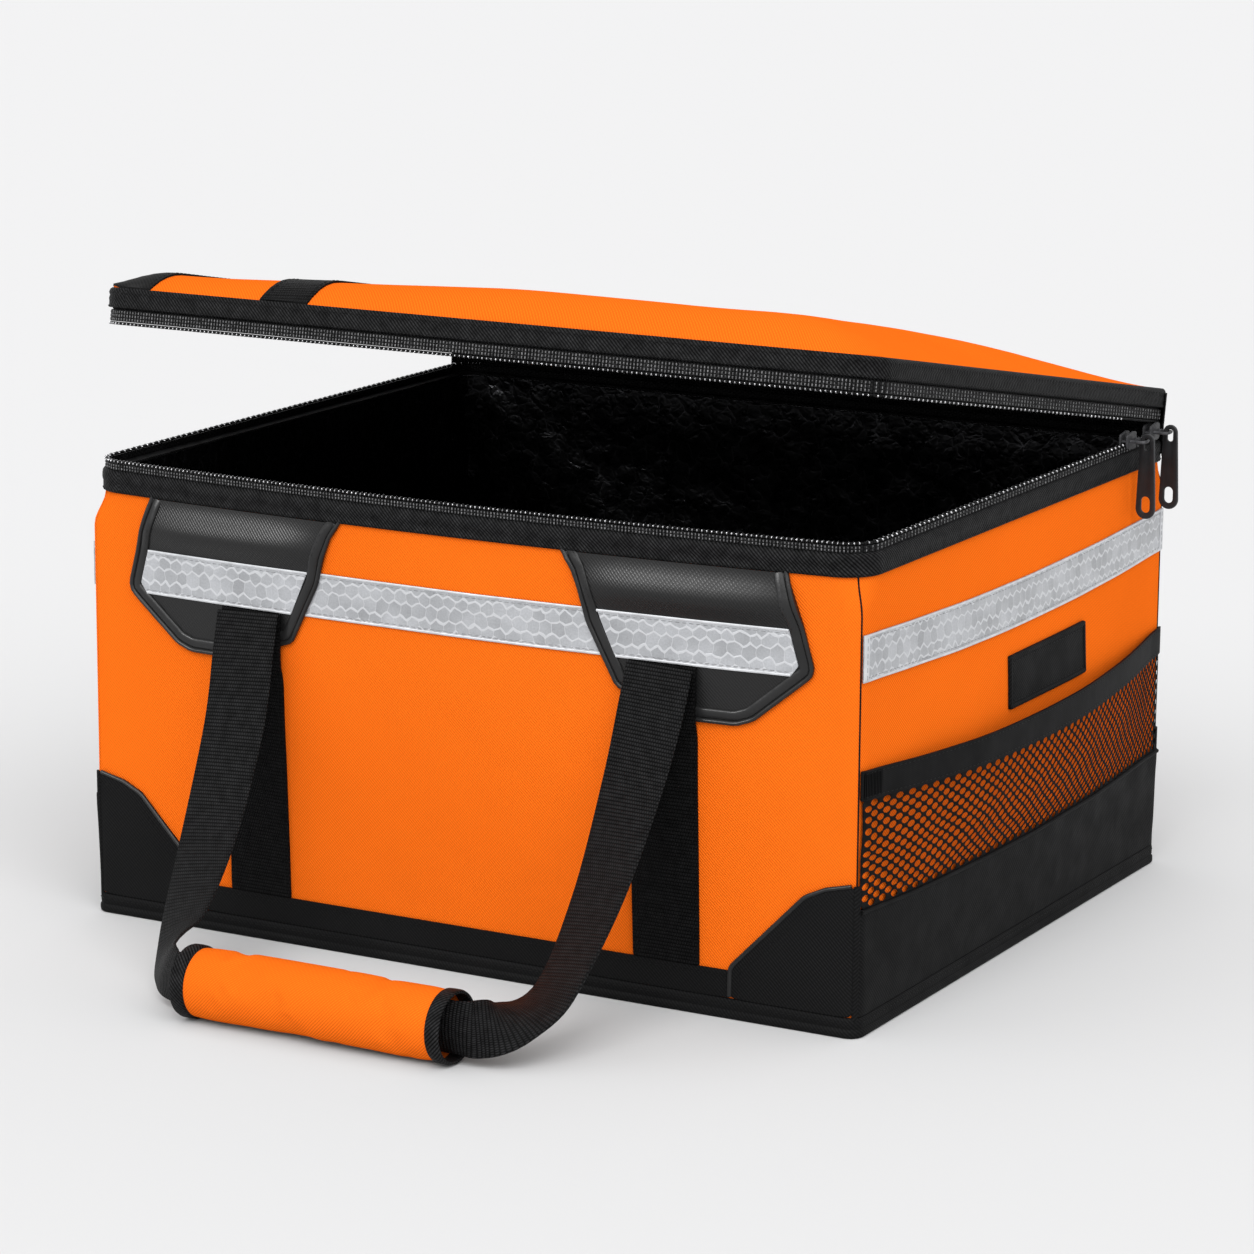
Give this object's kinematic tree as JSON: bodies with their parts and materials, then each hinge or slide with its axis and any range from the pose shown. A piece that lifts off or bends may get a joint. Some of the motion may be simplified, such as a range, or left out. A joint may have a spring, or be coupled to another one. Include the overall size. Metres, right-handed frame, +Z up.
{
  "type": "insulated delivery bag",
  "caption": "Insulated soft-sided bag for boxed pizza, with a zipped hinged lid, foil lining, folding carry handles and a net side pocket.",
  "frame": {"origin": "centre of the foot where it rests on the floor", "axes": "+X towards the bag's right side with the net pocket, -Y towards its front, +Z up"},
  "size_m": [0.5262, 0.7488, 0.388],
  "materials": {
    "orange_oxford": "woven oxford fabric, coated, matt",
    "black_coated": "coated fabric, slightly glossy",
    "black_webbing": "ribbed webbing, matt",
    "reflective": "reflective tape, satin",
    "foil": "crinkled foil laminate",
    "foam": "closed-cell foam",
    "board": "corrugated plastic sheet",
    "zipper_black": "woven zipper tape, coil and net",
    "gunmetal": "dark plated metal"
  },
  "bodies": {
    "bag": {"front_panel": "orange_oxford", "right_panel": "orange_oxford", "rear_panel": "orange_oxford", "left_panel": "orange_oxford", "bottom_panel": "black_coated", "front_left_corner_patch": "black_coated", "front_right_corner_patch": "black_coated", "rear_left_corner_patch": "black_coated", "rear_right_corner_patch": "black_coated", "front_bottom_band": "black_coated", "rear_bottom_band": "black_coated", "right_lower_panel": "black_coated", "left_lower_panel": "black_coated", "label_patch": "black_coated", "front_left_handle_patch": "black_coated", "front_right_handle_patch": "black_coated", "rear_left_handle_patch": "black_coated", "rear_right_handle_patch": "black_coated", "base_binding": "black_webbing", "rim_binding": "black_webbing", "pocket_binding": "black_webbing", "front_left_sewn_webbing": "black_webbing", "front_right_sewn_webbing": "black_webbing", "rear_left_sewn_webbing": "black_webbing", "rear_right_sewn_webbing": "black_webbing", "rear_hinge_tape": "black_webbing", "front_left_patch_strip": "reflective", "front_right_patch_strip": "reflective", "rear_left_patch_strip": "reflective", "rear_right_patch_strip": "reflective", "front_reflective_strip": "reflective", "rear_reflective_strip": "reflective", "right_reflective_strip": "reflective", "left_reflective_strip": "reflective", "liner": "foil", "wall_foam": "foam", "base_foam": "foam", "base_board": "board", "body_zipper_tape": "zipper_black", "body_zipper_coil": "zipper_black", "pocket_net": "zipper_black"},
    "lid": {"lid_panel": "orange_oxford", "lid_foam": "foam", "lid_liner": "foil", "lid_band": "black_webbing", "lid_zipper_tape": "zipper_black", "lid_zipper_coil": "zipper_black", "lid_strap": "black_webbing", "lid_end_trim": "black_coated", "lid_hinge_flap": "black_webbing"},
    "front_handle": {"front_handle_webbing": "black_webbing", "front_grip_sleeve": "orange_oxford"},
    "rear_handle": {"rear_handle_webbing": "black_webbing", "rear_grip_sleeve": "orange_oxford"},
    "rear_slider": {"rear_zipper_slider": "gunmetal"},
    "front_slider": {"front_zipper_slider": "gunmetal"},
    "rear_pull": {"rear_zipper_pull": "gunmetal"},
    "front_pull": {"front_zipper_pull": "gunmetal"}
  },
  "joints": [
    {"name": "lid_hinge", "type": "hinge", "parent": "bag", "child": "lid", "pos_m": [0, 0.2126, 0.2749], "axis": [-1, 0, 0], "range_deg": [-10.5, 90]},
    {"name": "front_handle_fold", "type": "hinge", "parent": "bag", "child": "front_handle", "pos_m": [0, -0.22279, 0.19745], "axis": [-1, 0, 0], "range_deg": [0, 138]},
    {"name": "rear_handle_fold", "type": "hinge", "parent": "bag", "child": "rear_handle", "pos_m": [0, 0.21796, 0.19745], "axis": [-1, 0, 0], "range_deg": [-138, 0]},
    {"name": "rear_slider_run", "type": "slide", "parent": "bag", "child": "rear_slider", "axis": [0, -1, 0], "range_m": [0, 0.15]},
    {"name": "front_slider_run", "type": "slide", "parent": "rear_slider", "child": "front_slider", "axis": [0, -1, 0], "range_m": [0, 0.15]},
    {"name": "rear_pull_turn", "type": "hinge", "parent": "rear_slider", "child": "rear_pull", "pos_m": [0.2608, 0.192, 0.2749], "axis": [0, -1, 0], "range_deg": [0, 150]},
    {"name": "front_pull_turn", "type": "hinge", "parent": "front_slider", "child": "front_pull", "pos_m": [0.2608, 0.1555, 0.2749], "axis": [0, -1, 0], "range_deg": [0, 150]}
  ]
}
